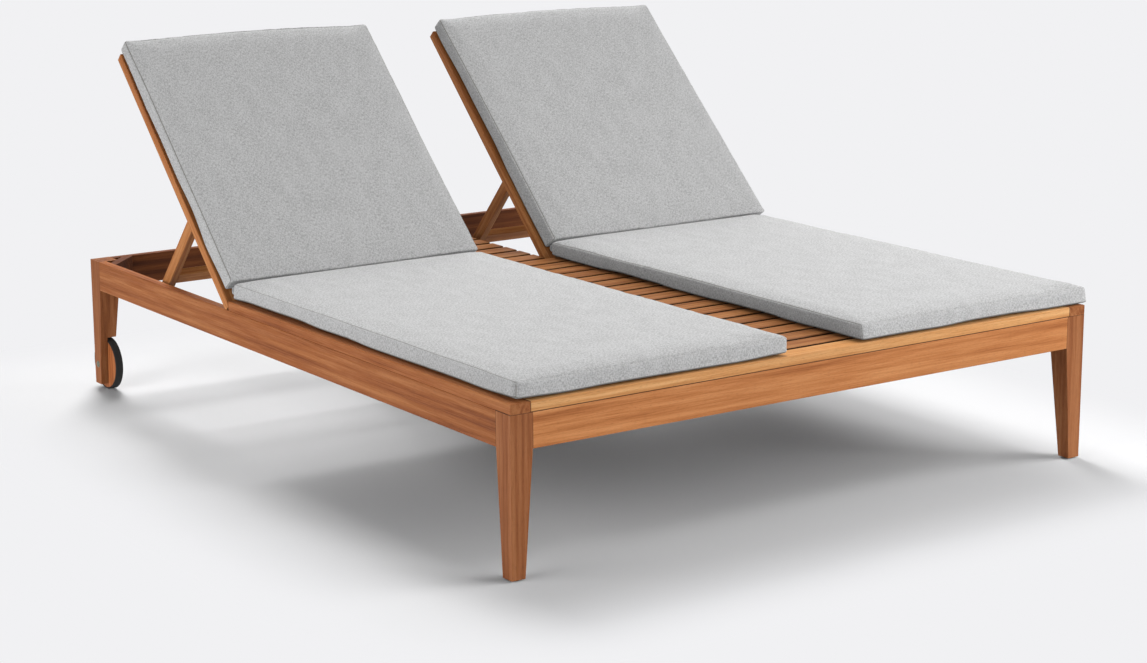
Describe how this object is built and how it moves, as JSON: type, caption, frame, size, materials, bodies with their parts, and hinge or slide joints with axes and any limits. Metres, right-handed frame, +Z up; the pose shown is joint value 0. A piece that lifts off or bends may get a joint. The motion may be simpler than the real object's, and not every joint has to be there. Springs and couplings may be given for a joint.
{
  "type": "double chaise lounger",
  "caption": "Wide slatted wooden sun lounger for two with separately reclining backs on folding props, loose grey cushions and wheels at the head end.",
  "frame": {"origin": "on the ground, under the middle of the whole outline", "axes": "+Z up, +Y from the foot end to the head end, +X across to the right side when seen from the foot end"},
  "size_m": [1.6228, 2.0334, 0.9426],
  "materials": {
    "oiled_wood": "oiled hardwood, satin",
    "wheel_wood": "oiled hardwood disc, satin",
    "cushion_fabric": "light grey woven outdoor fabric, matte",
    "stainless_steel": "plain stainless steel, satin",
    "black_rubber": "matte rubber",
    "black_plastic": "matte moulded plastic"
  },
  "bodies": {
    "frame": {"apron_front": "oiled_wood", "leg_front_left": "oiled_wood", "leg_front_right": "oiled_wood", "apron_rear": "oiled_wood", "leg_rear_left": "oiled_wood", "leg_rear_right": "oiled_wood", "apron_left": "oiled_wood", "deck_board_left": "oiled_wood", "slat_cleat_left": "oiled_wood", "hinge_rail_left": "oiled_wood", "centre_beam_left": "oiled_wood", "prop_racks_left": "oiled_wood", "seat_cushion_left": "cushion_fabric", "apron_right": "oiled_wood", "deck_board_right": "oiled_wood", "slat_cleat_right": "oiled_wood", "hinge_rail_right": "oiled_wood", "centre_beam_right": "oiled_wood", "prop_racks_right": "oiled_wood", "seat_cushion_right": "cushion_fabric", "deck_board_front": "oiled_wood", "centre_cleats": "oiled_wood", "seat_slats": "oiled_wood", "centre_slats": "oiled_wood", "corner_blocks": "oiled_wood", "corner_bolts": "stainless_steel", "hinge_brackets": "stainless_steel", "axle_bolts": "stainless_steel", "leg_glides": "black_plastic"},
    "left_back": {"outer_stile_left": "oiled_wood", "inner_stile_left": "oiled_wood", "bottom_rail_left": "oiled_wood", "top_rail_left": "oiled_wood", "back_slats_left": "oiled_wood", "prop_bearer_left": "oiled_wood", "hinge_bolts_left": "stainless_steel", "prop_bolts_left": "stainless_steel", "back_cushion_left": "cushion_fabric"},
    "right_back": {"outer_stile_right": "oiled_wood", "inner_stile_right": "oiled_wood", "bottom_rail_right": "oiled_wood", "top_rail_right": "oiled_wood", "back_slats_right": "oiled_wood", "prop_bearer_right": "oiled_wood", "hinge_bolts_right": "stainless_steel", "prop_bolts_right": "stainless_steel", "back_cushion_right": "cushion_fabric"},
    "left_prop": {"outer_prop_bar_left": "oiled_wood", "inner_prop_bar_left": "oiled_wood", "prop_cross_rail_left": "oiled_wood"},
    "right_prop": {"outer_prop_bar_right": "oiled_wood", "inner_prop_bar_right": "oiled_wood", "prop_cross_rail_right": "oiled_wood"},
    "left_wheel": {"wheel_hub_left": "wheel_wood", "wheel_tyre_left": "black_rubber", "wheel_bush_left": "black_plastic"},
    "right_wheel": {"wheel_hub_right": "wheel_wood", "wheel_tyre_right": "black_rubber", "wheel_bush_right": "black_plastic"}
  },
  "joints": [
    {"name": "left_back_tilt", "type": "hinge", "parent": "frame", "child": "left_back", "pos_m": [0, 0.20127, 0.3583], "axis": [1, 0, 0], "range_deg": [-45, 15]},
    {"name": "left_prop_turn", "type": "hinge", "parent": "left_back", "child": "left_prop", "pos_m": [0, 0.41128, 0.54087], "axis": [1, 0, 0], "range_deg": [-31.5, 92.4]},
    {"name": "left_wheel_spin", "type": "hinge", "parent": "frame", "child": "left_wheel", "pos_m": [-0.77, 0.94873, 0.068], "axis": [1, 0, 0], "continuous": true},
    {"name": "right_back_tilt", "type": "hinge", "parent": "frame", "child": "right_back", "pos_m": [0, 0.20127, 0.3583], "axis": [1, 0, 0], "range_deg": [-45, 15]},
    {"name": "right_prop_turn", "type": "hinge", "parent": "right_back", "child": "right_prop", "pos_m": [0, 0.41128, 0.54087], "axis": [1, 0, 0], "range_deg": [-31.5, 92.4]},
    {"name": "right_wheel_spin", "type": "hinge", "parent": "frame", "child": "right_wheel", "pos_m": [0.77, 0.94873, 0.068], "axis": [1, 0, 0], "continuous": true}
  ],
  "couplings": [
    {"joint": "left_prop_turn", "follows": "left_back_tilt", "ratio": -2.0318},
    {"joint": "right_prop_turn", "follows": "right_back_tilt", "ratio": -2.0318}
  ]
}
